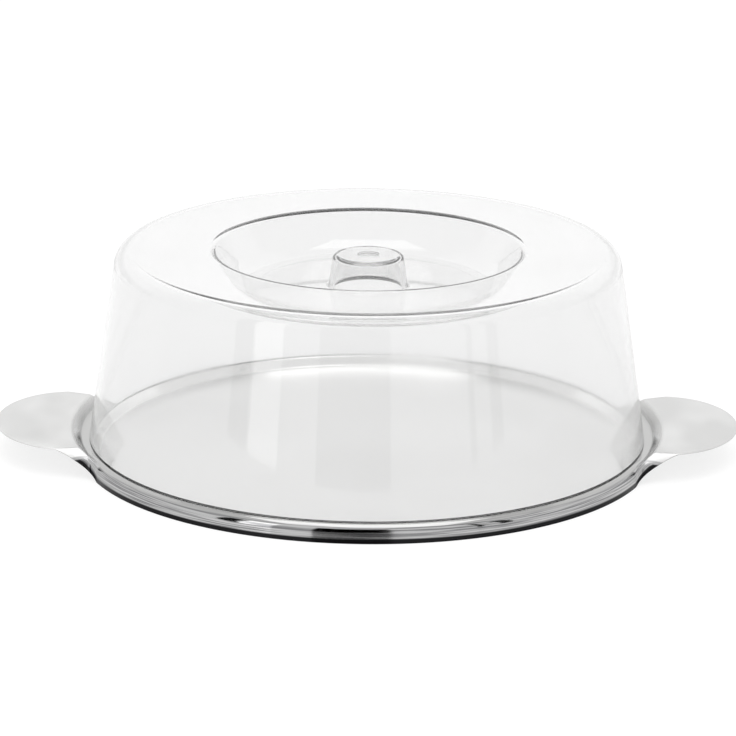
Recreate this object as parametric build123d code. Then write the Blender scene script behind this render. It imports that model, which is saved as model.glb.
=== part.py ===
"""Cake tray with a clear dome cover. Millimetres, +Z up.

The origin is on the table, on the axis of the round tray. X runs along the two handles.
Two pieces: the tray, one pressed steel sheet, and the cover, one clear plastic moulding.
"""

from build123d import *
import os

# Tray: sheet and round part
SHEET = 0.8
TRAY_R = 150.0
FLOOR_Z = 4.0
FLOOR_R = 139.5
RIM_Z = 9.5
RIM_INNER_R = 142.5
STEP_FILLET_R = 1.6
SHOULDER_X = 148.3
SHOULDER_R = 4.5

# Tray: handles, pressed out of the same sheet
EAR_Z = 15.0
EAR_TIP_Z = 16.0
EAR_TIP_X = 194.0
EAR_CENTRE_X = 155.0
EAR_HALF_WIDTH = 49.8
EAR_ROOT_X = 125.0
EAR_START_R = 147.0
RAMP_FOOT_R = 149.2
RAMP_TOP_R = 154.4
RAMP_FILLET_R = 2.5

# Cover: wall and top
WALL = 2.5
COVER_FOOT_R = 145.3
COVER_TOP_R = 130.4
COVER_TOP_Z = 110.0
TOP_FILLET_R = 9.0

# Cover: recess in the top, and the knob in it
RECESS_R = 80.0
RECESS_FLOOR_R = 67.0
RECESS_DEPTH = 20.5
RECESS_RIM_FILLET_R = 4.0
RECESS_FLOOR_FILLET_R = 14.0
KNOB_BASE_R = 20.6
KNOB_TOP_R = 18.2
KNOB_TOP_Z = 106.5
KNOB_BASE_FILLET_R = 1.5
KNOB_TOP_FILLET_R = 2.8
GATE_R = 5.5
GATE_DEPTH = 1.2

# How far helper solids run past what they cut
SPARE = 5.0


def revolved_sheet(path_points, radii, thickness, wall_side):
    """A wall of even thickness, turned about Z from its open path of (r, z) points.

    The path is the upper and outer face. The wall lies under it, on wall_side.
    """
    path = Plane.XZ * FilletPolyline(*path_points, radius=radii)
    outline = path.wire().offset_2d(thickness, side=wall_side, closed=True)
    return revolve(make_face(outline.edges()), Axis.Z)


def ear_zone():
    """The space above and below both handles, from inside the rim to the elliptical ends."""
    end = Pos(EAR_CENTRE_X, 0) * Ellipse(EAR_TIP_X - EAR_CENTRE_X, EAR_HALF_WIDTH)
    root_length = EAR_CENTRE_X - EAR_ROOT_X
    root = Pos(EAR_CENTRE_X - root_length / 2, 0) * Rectangle(root_length, 2 * EAR_HALF_WIDTH)
    right = Pos(0, 0, -SPARE) * extrude(end + root, EAR_TIP_Z + 2 * SPARE)
    return right + mirror(right, Plane.YZ)


def round_tray():
    """Flat floor, step up to the rim ring, and the outer edge turned down to the table.

    The turned-down edge leans out a little, and is cut off flat at the table.
    """
    lean = (TRAY_R - SHOULDER_X) / RIM_Z
    points = [
        (0, FLOOR_Z),
        (FLOOR_R, FLOOR_Z),
        (RIM_INNER_R, RIM_Z),
        (SHOULDER_X, RIM_Z),
        (TRAY_R + lean * SPARE, -SPARE),
    ]
    radii = [STEP_FILLET_R, STEP_FILLET_R, SHOULDER_R]
    shell = revolved_sheet(points, radii, SHEET, Side.RIGHT)
    room = Cylinder(
        TRAY_R + SPARE, RIM_Z + SPARE, align=(Align.CENTER, Align.CENTER, Align.MIN)
    )
    return shell & room


def ears(zone):
    """Both handles: out from the rim ring, up a short ramp, and out with a gentle rise."""
    rise = (EAR_TIP_Z - EAR_Z) / (EAR_TIP_X - RAMP_TOP_R)
    points = [
        (EAR_START_R - SPARE, RIM_Z),
        (RAMP_FOOT_R, RIM_Z),
        (RAMP_TOP_R, EAR_Z),
        (EAR_TIP_X + SPARE, EAR_TIP_Z + rise * SPARE),
    ]
    radii = [RAMP_FILLET_R, RAMP_FILLET_R]
    return revolved_sheet(points, radii, SHEET, Side.LEFT) & zone


def tray():
    """The whole tray. Where a handle leaves the rim, the sheet is not turned down."""
    zone = ear_zone()
    inside = Pos(0, 0, -SPARE) * Cylinder(
        EAR_START_R, EAR_TIP_Z + 2 * SPARE, align=(Align.CENTER, Align.CENTER, Align.MIN)
    )
    return round_tray() - (zone - inside) + (ears(zone) - inside)


def cover():
    """Tapered wall, flat top with a dished recess, and the hollow knob, all one moulding."""
    recess_z = COVER_TOP_Z - RECESS_DEPTH
    slope = (COVER_FOOT_R - COVER_TOP_R) / (COVER_TOP_Z - RIM_Z)
    below = RIM_Z - SPARE
    points = [
        (0, KNOB_TOP_Z),
        (KNOB_TOP_R, KNOB_TOP_Z),
        (KNOB_BASE_R, recess_z),
        (RECESS_FLOOR_R, recess_z),
        (RECESS_R, COVER_TOP_Z),
        (COVER_TOP_R, COVER_TOP_Z),
        (COVER_FOOT_R + slope * SPARE, below),
    ]
    radii = [
        KNOB_TOP_FILLET_R,
        KNOB_BASE_FILLET_R,
        RECESS_FLOOR_FILLET_R,
        RECESS_RIM_FILLET_R,
        TOP_FILLET_R,
    ]
    shell = revolved_sheet(points, radii, WALL, Side.LEFT)
    room = Pos(0, 0, RIM_Z) * Cylinder(
        TRAY_R, COVER_TOP_Z, align=(Align.CENTER, Align.CENTER, Align.MIN)
    )
    gate = Pos(0, 0, KNOB_TOP_Z) * Cylinder(GATE_R, 2 * GATE_DEPTH)
    return (shell & room) - gate


def main():
    """Write one STEP file for each piece."""
    os.makedirs("parts", exist_ok=True)
    pieces = {"tray": tray(), "cover": cover()}
    for name, shape in pieces.items():
        export_step(shape, f"parts/{name}.step")
        print(name, "volume", round(shape.volume), "size", shape.bounding_box().size)


main()
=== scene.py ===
import logging
import math
from dataclasses import dataclass, field
from enum import Enum

import bmesh
import bpy
from mathutils import Matrix, Vector


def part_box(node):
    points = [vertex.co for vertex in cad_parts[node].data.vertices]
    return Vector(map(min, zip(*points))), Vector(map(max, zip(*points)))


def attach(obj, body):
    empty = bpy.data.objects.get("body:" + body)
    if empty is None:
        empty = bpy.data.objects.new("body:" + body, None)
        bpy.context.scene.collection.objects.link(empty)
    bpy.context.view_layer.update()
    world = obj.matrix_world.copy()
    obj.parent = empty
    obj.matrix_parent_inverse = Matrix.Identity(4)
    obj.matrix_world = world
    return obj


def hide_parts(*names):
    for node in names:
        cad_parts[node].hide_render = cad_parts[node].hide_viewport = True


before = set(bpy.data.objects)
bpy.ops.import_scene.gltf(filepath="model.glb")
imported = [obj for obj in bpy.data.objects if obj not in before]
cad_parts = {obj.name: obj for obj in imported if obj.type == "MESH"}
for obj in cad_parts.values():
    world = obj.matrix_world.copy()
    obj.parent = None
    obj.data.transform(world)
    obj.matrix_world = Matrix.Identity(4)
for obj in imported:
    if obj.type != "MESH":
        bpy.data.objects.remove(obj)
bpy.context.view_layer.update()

MM = 0.001
MERGE_DISTANCE = 1e-5
GUARD_DISTANCE = 0.15 * MM
END_GUARD_DISTANCE = 0.8 * MM
ORIGIN = (0.0, 0.0, 0.0)
UP = (0.0, 0.0, 1.0)
EVEN = (1.0, 1.0, 1.0)
WHITE = (1.0, 1.0, 1.0, 1.0)
BLACK = (0.0, 0.0, 0.0, 1.0)

Span = tuple[float, float]
Triple = tuple[float, float, float]
Colour = tuple[float, float, float, float]
Socket = bpy.types.NodeSocket

log = logging.getLogger("cake_tray")


class Turn(Enum):
    """Which way a path bends at a corner, seen along its direction of travel."""

    LEFT = 1
    RIGHT = -1


@dataclass(frozen=True)
class Outline:
    """A path in the (r, z) half plane: straight runs with rounded corners, walked outwards.

    The first and last point are the path's ends. Every other corner has one radius.
    """

    corners: tuple[Span, ...]
    radii: tuple[float, ...]

    def corner_vectors(self) -> list[Vector]:
        """The corners as vectors."""
        return [Vector(corner) for corner in self.corners]

    def points(self, arc_steps: int, guarded: bool = False) -> list[Vector]:
        """The path's points, with each corner rounded.

        Args:
            arc_steps: how many chords make up one rounded corner.
            guarded: whether a guard point stands close to each end of an arc and to the path's
                last end, so that smooth shading does not bend the straight runs.

        Returns:
            The points in order, from the first end to the last.
        """
        corners = self.corner_vectors()
        path = [corners[0]]
        for before, corner, after, radius in zip(corners, corners[1:], corners[2:], self.radii):
            arc = rounded_corner(before, corner, after, radius, arc_steps)
            if guarded:
                arc.insert(0, arc[0] + (before - corner).normalized() * GUARD_DISTANCE)
                arc.append(arc[-1] + (after - corner).normalized() * GUARD_DISTANCE)
            path += arc
        if guarded:
            path.append(corners[-1] + (corners[-2] - corners[-1]).normalized() * END_GUARD_DISTANCE)
        path.append(corners[-1])
        return path

    def offset_inwards(self, wall: float) -> "Outline":
        """The same path, one wall thickness to the right of its direction of travel.

        Args:
            wall: the thickness.

        Returns:
            The offset path. Its first point stays on the first point's r, its last on the last one's z.
        """
        corners = self.corner_vectors()
        runs = [(b - a).normalized() for a, b in zip(corners, corners[1:])]
        sides = [Vector((run.y, -run.x)) for run in runs]
        first = corners[0] + sides[0] * wall
        first += runs[0] * (corners[0].x - first.x) / runs[0].x
        last = corners[-1] + sides[-1] * wall
        last += runs[-1] * (corners[-1].y - last.y) / runs[-1].y
        inner = [first]
        radii = []
        for corner, run_in, run_out, side_in, side_out, radius in zip(
            corners[1:], runs, runs[1:], sides, sides[1:], self.radii
        ):
            inner.append(corner + (side_in + side_out) * wall / (1 + side_in.dot(side_out)))
            turn = Turn.LEFT if run_in.cross(run_out) > 0 else Turn.RIGHT
            radii.append(radius + turn.value * wall)
        inner.append(last)
        return Outline(tuple(tuple(point) for point in inner), tuple(radii))


def rounded_corner(
    before: Vector, corner: Vector, after: Vector, radius: float, steps: int
) -> list[Vector]:
    """The points of the arc that rounds a corner.

    Args:
        before: a point on the run that reaches the corner.
        corner: the sharp corner.
        after: a point on the run that leaves it.
        radius: the arc's radius.
        steps: how many chords the arc has.

    Returns:
        steps + 1 points, from one tangent point to the other.
    """
    run_in = (corner - before).normalized()
    run_out = (after - corner).normalized()
    turn = math.atan2(run_in.cross(run_out), run_in.dot(run_out))
    tangent_length = radius * math.tan(abs(turn) / 2)
    start = corner - run_in * tangent_length
    towards_centre = Vector((-run_in.y, run_in.x)) * math.copysign(radius, turn)
    centre = start + towards_centre
    arc = []
    for step in range(steps + 1):
        arc.append(centre + Matrix.Rotation(turn * step / steps, 2) @ -towards_centre)
    return arc


def blend(start: float, end: float, share: float) -> float:
    """The value that lies at share of the way from start to end."""
    return start + (end - start) * share


def eased(share: float) -> float:
    """A share from 0 to 1 that starts and ends gently."""
    return share * share * (3 - 2 * share)


def bevelled(
    shape: bmesh.types.BMesh, edges: list[bmesh.types.BMEdge], offset: float, segments: int
) -> None:
    """Rounds some edges of a shape.

    Args:
        shape: the bmesh.
        edges: the edges to round.
        offset: how far the rounding reaches from an edge.
        segments: how many strips it has.
    """
    bmesh.ops.bevel(
        shape, geom=edges, offset=offset, affect="EDGES", segments=segments, profile=0.5, material=-1
    )


def finished_piece(name: str, shape: bmesh.types.BMesh, finish: bpy.types.Material) -> bpy.types.Object:
    """Makes an object at the origin from a bmesh.

    Args:
        name: the piece's name.
        shape: the bmesh, which is freed.
        finish: the piece's material.

    Returns:
        The new object.
    """
    mesh = bpy.data.meshes.new(name)
    shape.to_mesh(mesh)
    shape.free()
    mesh.materials.append(finish)
    piece = bpy.data.objects.new(name, mesh)
    bpy.context.scene.collection.objects.link(piece)
    return piece


class NodeTree:
    """Short ways to add and join the nodes of one material."""

    def __init__(self, name: str) -> None:
        """Makes a material that holds only a Principled shader, joined to its output.

        Args:
            name: the material's name.
        """
        self.material = bpy.data.materials.new(name)
        self.material.use_nodes = True
        self.nodes = self.material.node_tree.nodes
        self.nodes.clear()
        self.shader = self.add("ShaderNodeBsdfPrincipled")
        self.output = self.add("ShaderNodeOutputMaterial")
        self.join(self.shader.outputs["BSDF"], self.output.inputs["Surface"])
        self.place = self.add("ShaderNodeTexCoord").outputs["Object"]

    def add(self, kind: str, **settings: object) -> bpy.types.ShaderNode:
        """Adds a node.

        Args:
            kind: the node's type.
            **settings: the node's own settings, by name.

        Returns:
            The new node.
        """
        node = self.nodes.new(kind)
        for key, value in settings.items():
            setattr(node, key, value)
        return node

    def join(self, output: Socket, socket: Socket) -> None:
        """Links an output to an input."""
        self.material.node_tree.links.new(output, socket)

    def feed(self, socket: Socket, value: Socket | Colour | float) -> None:
        """Gives an input a constant value or a link.

        Args:
            socket: the input.
            value: a number or a colour that it is set to, or an output that it is linked to.
        """
        if isinstance(value, bpy.types.NodeSocket):
            self.join(value, socket)
        else:
            socket.default_value = value

    def number(self, operation: str, a: Socket | float, b: Socket | float = 0.0) -> Socket:
        """The result of a Math node.

        Args:
            operation: what the node does.
            a: its first value.
            b: its second value, for an operation that has one.

        Returns:
            The output that holds the result.
        """
        node = self.add("ShaderNodeMath", operation=operation)
        for socket, value in zip(node.inputs, (a, b)):
            self.feed(socket, value)
        return node.outputs["Value"]

    def ranged(self, value: Socket, source: Span, target: Span = (0.0, 1.0)) -> Socket:
        """Maps a value smoothly from one range to another.

        Args:
            value: the output to map.
            source: the two values between which the change takes place.
            target: the results at those two values.

        Returns:
            The output that holds the result.
        """
        node = self.add("ShaderNodeMapRange", interpolation_type="SMOOTHSTEP")
        self.join(value, node.inputs["Value"])
        node.inputs["From Min"].default_value, node.inputs["From Max"].default_value = source
        node.inputs["To Min"].default_value, node.inputs["To Max"].default_value = target
        return node.outputs["Result"]

    def noise(self, scale: float, detail: float, stretch: Triple = EVEN) -> Socket:
        """A noise pattern on the piece's own place.

        Args:
            scale: how fine the pattern is.
            detail: how many finer layers it has.
            stretch: how much finer still it is along each axis.

        Returns:
            The output that holds the pattern, around 0.5.
        """
        mapping = self.add("ShaderNodeMapping")
        mapping.inputs["Scale"].default_value = stretch
        self.join(self.place, mapping.inputs["Vector"])
        return self.noise_on(mapping.outputs["Vector"], scale, detail)

    def noise_on(self, place: Socket, scale: float, detail: float) -> Socket:
        """A noise pattern on any place.

        Args:
            place: the output that holds the place.
            scale: how fine the pattern is.
            detail: how many finer layers it has.

        Returns:
            The output that holds the pattern, around 0.5.
        """
        node = self.add("ShaderNodeTexNoise")
        node.inputs["Scale"].default_value = scale
        node.inputs["Detail"].default_value = detail
        self.join(place, node.inputs["Vector"])
        return node.outputs["Fac"]

    def axes(self) -> bpy.types.ShaderNode:
        """A node whose outputs X, Y and Z are the piece's own place."""
        node = self.add("ShaderNodeSeparateXYZ")
        self.join(self.place, node.inputs["Vector"])
        return node

    def attribute(self, name: str) -> Socket:
        """A number that the piece's own mesh holds at each point."""
        return self.add("ShaderNodeAttribute", attribute_name=name).outputs["Fac"]

    def mixed(self, share: Socket, low: Socket | Colour, high: Socket | Colour) -> Socket:
        """A colour between two others.

        Args:
            share: how far the colour is from low to high.
            low: the colour at share 0.
            high: the colour at share 1.

        Returns:
            The output that holds the colour.
        """
        node = self.add("ShaderNodeMix", data_type="RGBA")
        self.join(share, node.inputs["Factor"])
        low_colour, high_colour = node.inputs[6], node.inputs[7]
        self.feed(low_colour, low)
        self.feed(high_colour, high)
        return node.outputs[2]

    def absorption(self, colour: Colour, density: float) -> None:
        """Makes the body of a clear material take up some light, more where it is thicker.

        Args:
            colour: the colour of the light that passes.
            density: how much is taken up along one metre.
        """
        node = self.add("ShaderNodeVolumeAbsorption")
        node.inputs["Color"].default_value = colour
        node.inputs["Density"].default_value = density
        self.join(node.outputs["Volume"], self.output.inputs["Volume"])

    def bump(self, height: Socket, distance: float, strength: float) -> None:
        """Gives the shader a bump.

        Args:
            height: the output that holds the height, from 0 to 1.
            distance: the height in metres that 1 stands for.
            strength: how much of it shows.
        """
        node = self.add("ShaderNodeBump")
        node.inputs["Distance"].default_value = distance
        node.inputs["Strength"].default_value = strength
        self.join(height, node.inputs["Height"])
        self.join(node.outputs["Normal"], self.shader.inputs["Normal"])


@dataclass(frozen=True)
class ClearPlastic:
    """Colourless moulded plastic: clear and glossy, with the faint waviness of a thin moulding."""

    slot: str = "cover_plastic"
    tint: Colour = (0.935, 0.935, 0.935, 1.0)
    refraction: float = 1.49
    gloss_roughness: float = 0.03
    worn_roughness: float = 0.075
    haze_scale: float = 9.0
    haze_detail: float = 3.0
    haze_span: Span = (0.35, 0.75)
    wave_scale: float = 22.0
    wave_detail: float = 1.0
    wave_stretch: Triple = (1.0, 1.0, 0.25)
    wave_height: float = 0.05 * MM
    wave_strength: float = 1.0
    body_colour: Colour = (0.80, 0.80, 0.80, 1.0)
    body_density: float = 48.0

    def material(self) -> bpy.types.Material:
        """Builds the finish.

        Returns:
            The new material.
        """
        tree = NodeTree("clear_moulded_plastic")
        shader = tree.shader.inputs
        shader["Base Color"].default_value = self.tint
        shader["Transmission Weight"].default_value = 1.0
        shader["IOR"].default_value = self.refraction
        haze = tree.noise(self.haze_scale, self.haze_detail)
        roughness = tree.ranged(haze, self.haze_span, (self.gloss_roughness, self.worn_roughness))
        tree.join(roughness, shader["Roughness"])
        waves = tree.noise(self.wave_scale, self.wave_detail, self.wave_stretch)
        tree.bump(waves, self.wave_height, self.wave_strength)
        tree.absorption(self.body_colour, self.body_density)
        return tree.material


@dataclass(frozen=True)
class TraySteel:
    """Stainless sheet: satin floor, polished rim, satin handles, and a brushed turned-down edge whose foot
    carries near-black painted shade for its contact shadow and dark reflection.

    The mesh attribute edge_share rises from 0 at the rim ring to 1 at the foot of the turned-down
    edge, and stays 0 on the handles. Spans in MM are distances from the tray's axis.
    """

    slot: str = "tray_steel"
    edge_share: str = "edge_share"
    floor_colour: Colour = (0.88, 0.88, 0.875, 1.0)
    ring_colour: Colour = (0.42, 0.42, 0.415, 1.0)
    ring_span: Span = (142.4 * MM, 144.0 * MM)
    satin_colour: Colour = (0.74, 0.74, 0.735, 1.0)
    satin_shade: Colour = (0.60, 0.60, 0.595, 1.0)
    satin_span: Span = (150.5 * MM, 156.0 * MM)
    cloud_scale: float = 26.0
    cloud_detail: float = 2.0
    cloud_stretch: Triple = (1.0, 0.5, 1.0)
    cloud_span: Span = (0.35, 0.65)
    brushed_light: Colour = (0.50, 0.50, 0.50, 1.0)
    brushed_dark: Colour = (0.20, 0.20, 0.205, 1.0)
    brushed_span: Span = (0.22, 0.42)
    streaks_round: float = 3.0
    streaks_down: float = 16.0
    streak_detail: float = 3.0
    streak_span: Span = (0.35, 0.62)
    # Painted shade: the foot of the turned-down edge is coloured near-black in place of its contact shadow
    # and dark reflection.
    painted_foot_shade_colour: Colour = (0.015, 0.015, 0.016, 1.0)
    painted_foot_shade_span: Span = (0.76, 0.84)
    floor_roughness: float = 0.30
    floor_span: Span = (138.5 * MM, 141.0 * MM)
    polished_roughness: float = 0.08
    satin_roughness: float = 0.34
    smear_scale: float = 14.0
    smear_detail: float = 4.0
    smear_span: Span = (0.4, 0.7)
    smear_roughness: float = 0.05
    grooves_per_metre: float = 900.0
    groove_height: float = 0.002 * MM
    groove_strength: float = 0.3

    def material(self) -> bpy.types.Material:
        """Builds the finish.

        Returns:
            The new material.
        """
        tree = NodeTree("stainless_tray_steel")
        shader = tree.shader.inputs
        shader["Metallic"].default_value = 1.0
        radius = self.radius(tree)
        tree.join(self.roughness(tree, radius), shader["Roughness"])
        tree.join(self.colour(tree, radius), shader["Base Color"])
        turns = tree.number("MULTIPLY", radius, self.grooves_per_metre * 2 * math.pi)
        tree.bump(tree.number("SINE", turns), self.groove_height, self.groove_strength)
        return tree.material

    def radius(self, tree: NodeTree) -> Socket:
        """The distance from the tray's axis.

        Args:
            tree: the material's nodes.

        Returns:
            The output that holds it.
        """
        flat = tree.add("ShaderNodeVectorMath", operation="MULTIPLY")
        flat.inputs[1].default_value = (1.0, 1.0, 0.0)
        tree.join(tree.place, flat.inputs[0])
        length = tree.add("ShaderNodeVectorMath", operation="LENGTH")
        tree.join(flat.outputs["Vector"], length.inputs[0])
        return length.outputs["Value"]

    def roughness(self, tree: NodeTree, radius: Socket) -> Socket:
        """How rough the sheet is: satin floor and handles, polished between them, faint smears all over.

        Args:
            tree: the material's nodes.
            radius: the distance from the tray's axis.

        Returns:
            The output that holds the roughness.
        """
        satin = tree.ranged(radius, self.satin_span, (self.polished_roughness, self.satin_roughness))
        smears = tree.noise(self.smear_scale, self.smear_detail)
        smear = tree.ranged(smears, self.smear_span, (0.0, self.smear_roughness))
        floor_extra = self.floor_roughness - self.polished_roughness
        floor = tree.ranged(radius, self.floor_span, (floor_extra, 0.0))
        return tree.number("ADD", tree.number("ADD", satin, smear), floor)

    def colour(self, tree: NodeTree, radius: Socket) -> Socket:
        """The sheet's colour, from the floor out to the handles and down the turned-down edge, with painted
        shade at the edge's foot.

        Args:
            tree: the material's nodes.
            radius: the distance from the tray's axis.

        Returns:
            The output that holds the colour.
        """
        clouds = tree.noise(self.cloud_scale, self.cloud_detail, self.cloud_stretch)
        handle = tree.mixed(tree.ranged(clouds, self.cloud_span), self.satin_shade, self.satin_colour)
        middle = tree.mixed(tree.ranged(radius, self.ring_span), self.floor_colour, self.ring_colour)
        plain = tree.mixed(tree.ranged(radius, self.satin_span), middle, handle)
        edge = tree.attribute(self.edge_share)
        brushed = tree.mixed(self.streaks(tree, edge), self.brushed_dark, self.brushed_light)
        body = tree.mixed(tree.ranged(edge, self.brushed_span), plain, brushed)
        # The foot of the turned-down edge turns near-black: painted shade for the contact shadow and dark
        # reflection there.
        return tree.mixed(tree.ranged(edge, self.painted_foot_shade_span), body, self.painted_foot_shade_colour)

    def streaks(self, tree: NodeTree, edge: Socket) -> Socket:
        """Brush marks that run round the turned-down edge.

        Args:
            tree: the material's nodes.
            edge: how far down the turned-down edge a point is, from 0 to 1.

        Returns:
            The output that holds them, from 0 in a dark streak to 1 in a light one.
        """
        axes = tree.axes()
        turn = tree.number("ARCTAN2", axes.outputs["Y"], axes.outputs["X"])
        marks = tree.add("ShaderNodeCombineXYZ")
        tree.join(tree.number("MULTIPLY", turn, self.streaks_round), marks.inputs["X"])
        tree.join(tree.number("MULTIPLY", edge, self.streaks_down), marks.inputs["Y"])
        return tree.ranged(tree.noise_on(marks.outputs["Vector"], 1.0, self.streak_detail), self.streak_span)


@dataclass(frozen=True)
class Sector:
    """One stretch of the tray's turn, with its own number of columns."""

    sweep: float
    steps: int


@dataclass
class Tray:
    """The pressed steel tray: floor, step, rim ring, turned-down edge and two handles."""

    body: str = "tray"
    node: str = "tray"
    sheet: float = 0.8 * MM
    floor_z: float = 4.0 * MM
    floor_radius: float = 139.5 * MM
    rim_z: float = 9.5 * MM
    rim_inner_radius: float = 142.5 * MM
    step_fillet: float = 1.6 * MM
    shoulder_radius: float = 148.3 * MM
    shoulder_fillet: float = 4.5 * MM
    ramp_foot_radius: float = 149.2 * MM
    ramp_top_radius: float = 154.4 * MM
    ramp_fillet: float = 2.5 * MM
    ramp_end_radius: float = 156.5 * MM
    ear_centre_x: float = 155.0 * MM
    ear_half_width: float = 49.8 * MM
    ear_root_z: float = 15.0 * MM
    ear_last_angle: float = math.radians(82.0)
    skirt_azimuth: float = math.radians(23.0)
    inward_power: float = 2.2
    drop_power: float = 1.3
    edge_from: float = 0.16
    edge_until: float = 0.36
    floor_rings: tuple[float, ...] = (0.0, 0.2, 0.4, 0.6, 0.8, 0.93, 0.985, 0.996)
    arc_steps: int = 8
    outer_rows: int = 44
    ramp_rows: int = 26
    ear_columns: int = 56
    turn_columns: int = 18
    arc_columns: int = 92
    edge_bevel: float = 0.2 * MM
    bevel_segments: int = 2
    sharp_angle: float = math.radians(50.0)
    finish: TraySteel = field(default_factory=TraySteel)
    radius: float = field(init=False)
    tip_x: float = field(init=False)
    tip_z: float = field(init=False)
    outer_start: float = field(init=False)
    ear_azimuth: float = field(init=False)
    ear_profile: list[Vector] = field(init=False)

    def __post_init__(self) -> None:
        """Takes the outer sizes from the CAD tray, and works out what follows from them."""
        _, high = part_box(self.node)
        self.radius = high.y
        self.tip_x = high.x
        self.tip_z = high.z
        skirt_turn = math.atan2(self.rim_z, self.radius - self.shoulder_radius)
        tangent = self.shoulder_fillet * math.tan(skirt_turn / 2)
        self.outer_start = self.shoulder_radius - tangent
        last = self.ear_edge(1.0)
        self.ear_azimuth = math.atan2(last.y, last.x)
        self.ear_profile = self.ear_outline().points(self.arc_steps)

    def inner_outline(self) -> Outline:
        """The upper face from the axis to the rim ring, where the outer rows begin.

        Returns:
            The path.
        """
        corners = (
            (0.0, self.floor_z),
            (self.floor_radius, self.floor_z),
            (self.rim_inner_radius, self.rim_z),
            (self.outer_start, self.rim_z),
        )
        return Outline(corners, (self.step_fillet, self.step_fillet))

    def skirt_outline(self) -> Outline:
        """The outer face of the shoulder and the turned-down edge.

        Returns:
            The path.
        """
        corners = (
            (self.outer_start, self.rim_z),
            (self.shoulder_radius, self.rim_z),
            (self.radius, 0.0),
        )
        return Outline(corners, (self.shoulder_fillet,))

    def ear_outline(self) -> Outline:
        """The upper face from the rim ring up the ramp and out along a handle.

        Returns:
            The path.
        """
        corners = (
            (self.outer_start, self.rim_z),
            (self.ramp_foot_radius, self.rim_z),
            (self.ramp_top_radius, self.ear_root_z),
            (self.tip_x, self.tip_z),
        )
        return Outline(corners, (self.ramp_fillet, self.ramp_fillet))

    def ear_edge(self, share: float) -> Vector:
        """A point of a handle's outer edge.

        Args:
            share: the point's place, from 0 at the tip to 1 at the root.

        Returns:
            The point, as (x, y).
        """
        angle = share * self.ear_last_angle
        reach = self.tip_x - self.ear_centre_x
        return Vector((self.ear_centre_x + reach * math.cos(angle), self.ear_half_width * math.sin(angle)))

    def ear_height(self, radius: float) -> float:
        """The height of a handle's upper face.

        Args:
            radius: the distance from the tray's axis.

        Returns:
            The height there.
        """
        for low, high in zip(self.ear_profile, self.ear_profile[1:]):
            if radius <= high.x:
                share = max(0.0, radius - low.x) / max(high.x - low.x, MERGE_DISTANCE)
                return blend(low.y, high.y, share)
        return self.ear_profile[-1].y

    def skirt_rows(self) -> list[Vector]:
        """The turned-down edge's outer face, from the rim ring to the table.

        Returns:
            Evenly spaced points, without the first end.
        """
        path = self.skirt_outline().points(self.arc_steps * 2)
        lengths = [0.0]
        for a, b in zip(path, path[1:]):
            lengths.append(lengths[-1] + (b - a).length)
        rows = []
        for row in range(1, self.outer_rows + 1):
            wanted = lengths[-1] * row / self.outer_rows
            index = next(i for i, length in enumerate(lengths) if length >= wanted - MERGE_DISTANCE)
            share = (wanted - lengths[index - 1]) / (lengths[index] - lengths[index - 1])
            rows.append(path[index - 1].lerp(path[index], share))
        return rows

    def sectors(self) -> list[Sector]:
        """The whole turn, from one end of the right handle round and back to it.

        Returns:
            The stretches in order.
        """
        ear = Sector(2 * self.ear_azimuth, self.ear_columns)
        turn = Sector(self.skirt_azimuth - self.ear_azimuth, self.turn_columns)
        arc = Sector(math.pi - 2 * self.skirt_azimuth, self.arc_columns)
        return [ear, turn, arc, turn] * 2

    def spun_sheet(self) -> tuple[bmesh.types.BMesh, bmesh.types.BMLayerItem]:
        """The tray as one round sheet without thickness, still with its edge turned down all round.

        Returns:
            The bmesh, and the layer that holds how far out each point of the outer rows is, from 0 to 1.
        """
        shape = bmesh.new()
        along = shape.verts.layers.float.new("along")
        inner = self.inner_outline().points(self.arc_steps)
        floor = [inner[0].lerp(inner[1], ring) for ring in self.floor_rings]
        chain = []
        for point in [*floor, *inner[1:]]:
            chain.append(shape.verts.new((point.x, 0.0, point.y)))
        for row, point in enumerate(self.skirt_rows(), start=1):
            chain.append(shape.verts.new((point.x, 0.0, point.y)))
            chain[-1][along] = row / self.outer_rows
        edges = [shape.edges.new(pair) for pair in zip(chain, chain[1:])]
        start = Matrix.Rotation(-self.ear_azimuth, 3, "Z")
        bmesh.ops.rotate(shape, verts=chain, matrix=start, cent=ORIGIN)
        last = [*chain, *edges]
        for sector in self.sectors():
            made = bmesh.ops.spin(
                shape, geom=last, cent=ORIGIN, axis=UP, angle=sector.sweep, steps=sector.steps
            )
            last = made["geom_last"]
        bmesh.ops.remove_doubles(shape, verts=shape.verts, dist=MERGE_DISTANCE)
        bmesh.ops.recalc_face_normals(shape, faces=shape.faces)
        innermost = min(shape.faces, key=lambda face: face.calc_center_median().xy.length)
        if innermost.normal.z < 0:
            bmesh.ops.reverse_faces(shape, faces=shape.faces)
        return shape, along

    def on_ear(self, share: float, azimuth: float) -> Vector:
        """A point of a handle's upper face, on the side where x and y are positive.

        Args:
            share: how far out the point is, from 0 at the rim ring to 1 at the edge.
            azimuth: the angle from the line of the handles to the point's column at the rim ring.

        Returns:
            The point, as (x, y, z).
        """
        root = Vector((math.cos(azimuth), math.sin(azimuth))) * self.outer_start
        edge = self.ear_edge(azimuth / self.ear_azimuth)
        ramp_share = self.ramp_rows / self.outer_rows
        ramp_end = (self.ramp_end_radius - self.outer_start) / (edge.length - self.outer_start)
        if share <= ramp_share:
            out = ramp_end * share / ramp_share
        else:
            out = blend(ramp_end, 1.0, (share - ramp_share) / (1 - ramp_share))
        plan = root.lerp(edge, out)
        return Vector((plan.x, plan.y, self.ear_height(plan.length)))

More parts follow.
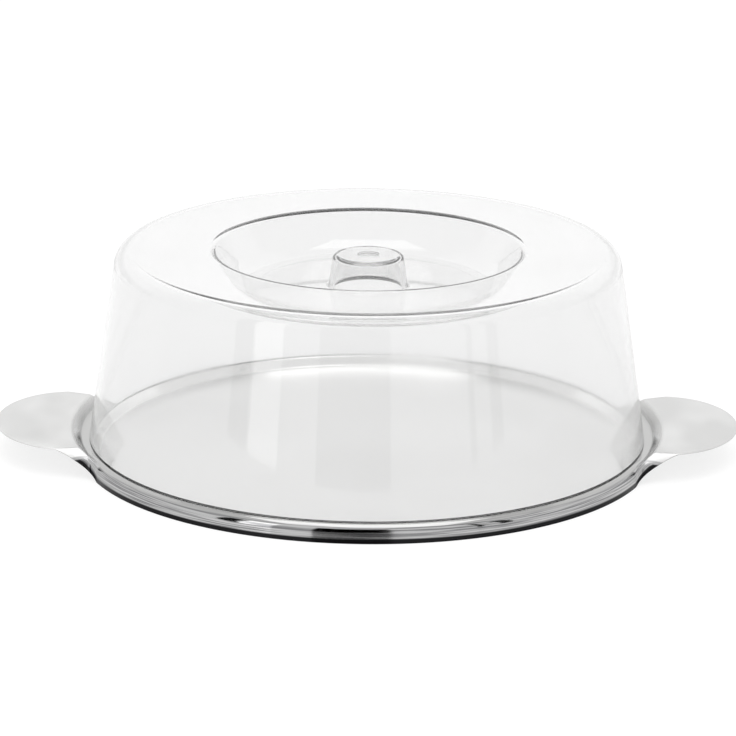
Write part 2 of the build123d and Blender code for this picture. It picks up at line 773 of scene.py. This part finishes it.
    def shaped(self, point: Vector, share: float) -> Vector:
        """Where a point of the outer rows goes.

        Args:
            point: its place on the round sheet.
            share: how far out it is, from 0 to 1.

        Returns:
            The point on a handle, on the turned-down edge, or on the sweep between them.
        """
        sign = Vector((math.copysign(1, point.x), math.copysign(1, point.y)))
        azimuth = math.atan2(abs(point.y), abs(point.x))
        if azimuth >= self.skirt_azimuth:
            return point.copy()
        if azimuth <= self.ear_azimuth:
            placed = self.on_ear(share, azimuth)
        else:
            ear = self.on_ear(share, self.ear_azimuth)
            turn = (azimuth - self.ear_azimuth) / (self.skirt_azimuth - self.ear_azimuth)
            radius = blend(ear.xy.length, point.xy.length, 1 - (1 - turn) ** self.inward_power)
            height = blend(ear.z, point.z, 1 - (1 - turn) ** self.drop_power)
            placed = Vector((radius * math.cos(azimuth), radius * math.sin(azimuth), height))
        return Vector((placed.x * sign.x, placed.y * sign.y, placed.z))

    def turned_down(self, point: Vector) -> float:
        """How much a column belongs to the turned-down edge.

        Args:
            point: any point of the column, on the round sheet.

        Returns:
            0 on a handle, rising within the sweep beside it to 1 on the turned-down edge.
        """
        azimuth = math.atan2(abs(point.y), abs(point.x))
        share = (azimuth - self.ear_azimuth) / (self.skirt_azimuth - self.ear_azimuth)
        reached = (share - self.edge_from) / (self.edge_until - self.edge_from)
        return eased(min(1.0, max(0.0, reached)))

    def build(self) -> bpy.types.Object:
        """Builds the tray and puts it in the CAD tray's place.

        Returns:
            The finished piece.
        """
        shape, along = self.spun_sheet()
        edge_share = shape.verts.layers.float.new(self.finish.edge_share)
        for vert in shape.verts:
            if vert[along] > 0:
                vert[edge_share] = vert[along] * self.turned_down(vert.co)
                vert.co = self.shaped(vert.co, vert[along])
        shape.normal_update()
        bmesh.ops.solidify(shape, geom=shape.faces[:], thickness=self.sheet)
        # The wall's cut end is square to the leaning sheet, so its lower corner is brought up to the table.
        for vert in shape.verts:
            vert.co.z = max(0.0, vert.co.z)
        shape.normal_update()
        sharp = [edge for edge in shape.edges if edge.calc_face_angle(0.0) > self.sharp_angle]
        bevelled(shape, sharp, self.edge_bevel, self.bevel_segments)
        for face in shape.faces:
            face.smooth = True
        piece = finished_piece("tray_sheet", shape, self.finish.material())
        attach(piece, self.body)
        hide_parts(self.node)
        return piece


@dataclass
class Cover:
    """The clear cover: tapered wall, flat top with a dished recess, and the hollow knob, one moulding."""

    body: str = "cover"
    node: str = "cover"
    wall: float = 2.5 * MM
    top_radius: float = 130.4 * MM
    top_fillet: float = 9.0 * MM
    recess_radius: float = 80.0 * MM
    recess_floor_radius: float = 67.0 * MM
    recess_depth: float = 20.5 * MM
    recess_rim_fillet: float = 4.0 * MM
    recess_floor_fillet: float = 14.0 * MM
    knob_base_radius: float = 20.6 * MM
    knob_top_radius: float = 18.2 * MM
    knob_drop: float = 3.5 * MM
    knob_base_fillet: float = 1.5 * MM
    knob_top_fillet: float = 2.8 * MM
    gate_radius: float = 5.5 * MM
    gate_depth: float = 1.2 * MM
    gate_fillet: float = 0.35 * MM
    foot_bevel: float = 0.45 * MM
    foot_segments: int = 3
    foot_angle: float = math.radians(30.0)
    contact_gap: float = 0.03 * MM
    arc_steps: int = 12
    columns: int = 288
    finish: ClearPlastic = field(default_factory=ClearPlastic)
    foot_radius: float = field(init=False)
    foot_z: float = field(init=False)
    top_z: float = field(init=False)
    recess_z: float = field(init=False)
    knob_z: float = field(init=False)

    def __post_init__(self) -> None:
        """Takes the outer sizes from the CAD cover, and works out what follows from them."""
        low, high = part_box(self.node)
        self.foot_radius = high.x
        self.foot_z = low.z + self.contact_gap
        self.top_z = high.z
        self.recess_z = self.top_z - self.recess_depth
        self.knob_z = self.top_z - self.knob_drop

    def outline(self) -> Outline:
        """The outer face, from the middle of the knob to the foot.

        Returns:
            The path.
        """
        corners = (
            (0.0, self.knob_z),
            (self.knob_top_radius, self.knob_z),
            (self.knob_base_radius, self.recess_z),
            (self.recess_floor_radius, self.recess_z),
            (self.recess_radius, self.top_z),
            (self.top_radius, self.top_z),
            (self.foot_radius, self.foot_z),
        )
        radii = (
            self.knob_top_fillet,
            self.knob_base_fillet,
            self.recess_floor_fillet,
            self.recess_rim_fillet,
            self.top_fillet,
        )
        return Outline(corners, radii)

    def outline_with_gate(self) -> Outline:
        """The outer face with the round gate mark sunk in the middle of the knob.

        Returns:
            The path.
        """
        plain = self.outline()
        gate_z = self.knob_z - self.gate_depth
        gate = ((0.0, gate_z), (self.gate_radius, gate_z), (self.gate_radius, self.knob_z))
        return Outline(gate + plain.corners[1:], (self.gate_fillet, self.gate_fillet) + plain.radii)

    def build(self) -> bpy.types.Object:
        """Builds the cover and puts it in the CAD cover's place.

        Returns:
            The finished piece.
        """
        outside = self.outline_with_gate().points(self.arc_steps, guarded=True)
        inside = self.outline().offset_inwards(self.wall).points(self.arc_steps, guarded=True)
        shape = bmesh.new()
        chain = []
        for point in [*outside, *reversed(inside)]:
            chain.append(shape.verts.new((max(0.0, point.x), 0.0, point.y)))
        edges = [shape.edges.new(pair) for pair in zip(chain, chain[1:])]
        bmesh.ops.spin(
            shape,
            geom=[*chain, *edges],
            cent=ORIGIN,
            axis=UP,
            angle=2 * math.pi,
            steps=self.columns,
            use_merge=True,
        )
        bmesh.ops.remove_doubles(shape, verts=shape.verts, dist=MERGE_DISTANCE)
        bmesh.ops.recalc_face_normals(shape, faces=shape.faces)
        foot = [edge for edge in shape.edges if self.is_foot(edge)]
        bevelled(shape, foot, self.foot_bevel, self.foot_segments)
        for face in shape.faces:
            face.smooth = True
        piece = finished_piece("cover_moulding", shape, self.finish.material())
        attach(piece, self.body)
        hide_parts(self.node)
        return piece

    def is_foot(self, edge: bmesh.types.BMEdge) -> bool:
        """Whether an edge belongs to one of the two circles that bound the foot.

        Args:
            edge: the edge.

        Returns:
            True if it does.
        """
        if any(abs(vert.co.z - self.foot_z) > MERGE_DISTANCE for vert in edge.verts):
            return False
        return edge.calc_face_angle(0.0) > self.foot_angle


@dataclass(frozen=True)
class PaleFloor:
    """Matt pale board under the object, lit a little from within so that shadows on it stay faint."""

    colour: Colour = (0.34, 0.34, 0.34, 1.0)
    glow: float = 0.7
    half_size: float = 9.0
    cells: int = 8

    def build(self) -> bpy.types.Object:
        """Builds the floor with its top at z 0.

        Returns:
            The floor.
        """
        tree = NodeTree("pale_board")
        shader = tree.shader.inputs
        shader["Base Color"].default_value = self.colour
        shader["Roughness"].default_value = 1.0
        shader["Specular IOR Level"].default_value = 0.0
        shader["Emission Color"].default_value = WHITE
        shader["Emission Strength"].default_value = self.glow
        shape = bmesh.new()
        bmesh.ops.create_grid(shape, x_segments=self.cells, y_segments=self.cells, size=self.half_size)
        floor = finished_piece("floor", shape, tree.material)
        return floor


@dataclass(frozen=True)
class SoftBox:
    """A rectangular studio lamp that points at the object."""

    name: str
    azimuth: float
    elevation: float
    distance: float
    width: float
    height: float
    power: float

    def build(self) -> bpy.types.Object:
        """Builds the lamp.

        Returns:
            The lamp.
        """
        lamp = bpy.data.lights.new(self.name, "AREA")
        lamp.shape = "RECTANGLE"
        lamp.size = self.width
        lamp.size_y = self.height
        lamp.energy = self.power
        holder = bpy.data.objects.new(self.name, lamp)
        bpy.context.scene.collection.objects.link(holder)
        holder.location = direction(self.azimuth, self.elevation) * self.distance
        holder.rotation_mode = "QUATERNION"
        holder.rotation_quaternion = holder.location.to_track_quat("Z", "Y")
        return holder


@dataclass(frozen=True)
class Card:
    """A curved studio card, black or glowing, that shows only in reflections.

    Azimuths are counted from the front, towards the right. The glow changes from low_glow at the
    card's low edge to high_glow at the elevation full_glow. A card that is seen_through_plastic
    also shows through the cover. All angles are in degrees.
    """

    name: str
    first_azimuth: float
    last_azimuth: float
    low: float
    high: float
    low_glow: float = 0.0
    high_glow: float = 0.0
    seen_through_plastic: bool = False
    full_glow: float = 20.0
    distance: float = 4.0
    steps: int = 24

    def height(self, elevation: float) -> float:
        """The height of that elevation on the card."""
        return self.distance * math.tan(math.radians(elevation))

    def finish(self) -> bpy.types.Material:
        """Builds the card's material.

        Returns:
            The new material.
        """
        tree = NodeTree(self.name + "_surface")
        shader = tree.shader.inputs
        shader["Base Color"].default_value = BLACK
        shader["Specular IOR Level"].default_value = 0.0
        if self.high_glow > 0:
            heights = (self.height(self.low), self.height(self.full_glow))
            glow = tree.ranged(tree.axes().outputs["Z"], heights, (self.low_glow, self.high_glow))
            shader["Emission Color"].default_value = WHITE
            tree.join(glow, shader["Emission Strength"])
        return tree.material

    def build(self) -> bpy.types.Object:
        """Builds the card.

        Returns:
            The card.
        """
        shape = bmesh.new()
        start = direction(self.first_azimuth, 0.0) * self.distance
        ends = []
        for elevation in (self.low, self.high):
            ends.append(shape.verts.new((start.x, start.y, self.height(elevation))))
        edge = shape.edges.new(ends)
        sweep = math.radians(self.last_azimuth - self.first_azimuth)
        bmesh.ops.spin(
            shape, geom=[*ends, edge], cent=ORIGIN, axis=UP, angle=sweep, steps=self.steps
        )
        card = finished_piece(self.name, shape, self.finish())
        card.visible_camera = False
        card.visible_diffuse = False
        card.visible_transmission = self.seen_through_plastic
        card.visible_shadow = False
        return card


def direction(azimuth: float, elevation: float) -> Vector:
    """The direction from the object to a place round it.

    Args:
        azimuth: degrees from the front, towards the right.
        elevation: degrees above the table.

    Returns:
        The unit vector.
    """
    turned = math.radians(azimuth)
    raised = math.radians(elevation)
    return Vector(
        (
            math.sin(turned) * math.cos(raised),
            -math.cos(turned) * math.cos(raised),
            math.sin(raised),
        )
    )


@dataclass
class Studio:
    """Floor, room light, lamp and cards, with enough light bounces for the clear cover."""

    room_colour: Colour = WHITE
    room_strength: float = 1.0
    lamp: SoftBox = SoftBox("overhead_box", 0.0, 80.0, 2.2, 2.0, 1.6, 12.0)
    cards: tuple[Card, ...] = (
        Card("front_flag", -19.0, 9.0, 0.1, 32.0, distance=0.9),
        Card("left_flag", -55.0, -47.0, 0.1, 32.0, distance=0.9),
        Card("left_glow", -46.0, -34.0, 0.1, 32.0, 2.6, 2.6, distance=0.9),
        Card("right_flag", 49.0, 54.0, 0.1, 32.0, distance=0.9),
        Card("right_thin_flag", 40.0, 42.5, 0.1, 32.0, distance=0.9),
        Card("back_glow", 110.0, 250.0, 6.0, 50.0, 0.9, 1.2, True),
    )
    light_bounces: int = 24

    def build(self) -> None:
        """Builds the studio."""
        PaleFloor().build()
        world = bpy.data.worlds.new("studio_room")
        world.use_nodes = True
        background = world.node_tree.nodes["Background"]
        background.inputs["Color"].default_value = self.room_colour
        background.inputs["Strength"].default_value = self.room_strength
        scene = bpy.context.scene
        scene.world = world
        self.lamp.build()
        for card in self.cards:
            card.build()
        scene.view_settings.view_transform = "Standard"
        scene.cycles.max_bounces = self.light_bounces
        scene.cycles.transmission_bounces = self.light_bounces
        scene.cycles.glossy_bounces = self.light_bounces
        scene.cycles.transparent_max_bounces = self.light_bounces


@dataclass
class StudioCamera:
    """A long lens, a little above the table, looking at the tray from the front."""

    elevation: float = math.radians(16.93)
    distance: float = 2.1126
    target: Triple = (0.33 * MM, 0.0, 41.96 * MM)
    roll: float = math.radians(0.48)
    lens: float = 197.9
    sensor: float = 36.0
    shift_up: float = 0.0072
    nearest: float = 0.05
    farthest: float = 50.0

    def build(self) -> bpy.types.Object:
        """Builds the camera and makes it the scene's camera.

        Returns:
            The camera.
        """
        data = bpy.data.cameras.new("studio_camera")
        data.lens = self.lens
        data.sensor_width = self.sensor
        data.shift_y = self.shift_up
        data.clip_start = self.nearest
        data.clip_end = self.farthest
        camera = bpy.data.objects.new("studio_camera", data)
        bpy.context.scene.collection.objects.link(camera)
        back = direction(0.0, math.degrees(self.elevation))
        camera.location = Vector(self.target) + back * self.distance
        camera.rotation_mode = "QUATERNION"
        level = back.to_track_quat("Z", "Y").to_matrix()
        camera.rotation_quaternion = (level @ Matrix.Rotation(self.roll, 3, "Z")).to_quaternion()
        bpy.context.scene.camera = camera
        return camera


def main() -> None:
    """Builds the pieces, the studio and the camera in order."""
    logging.basicConfig(level=logging.INFO)
    for sub_assembly in (Tray(), Cover()):
        piece = sub_assembly.build()
        log.info("%s: %d faces", piece.name, len(piece.data.polygons))
    Studio().build()
    StudioCamera().build()


if __name__ == "__main__":
    main()
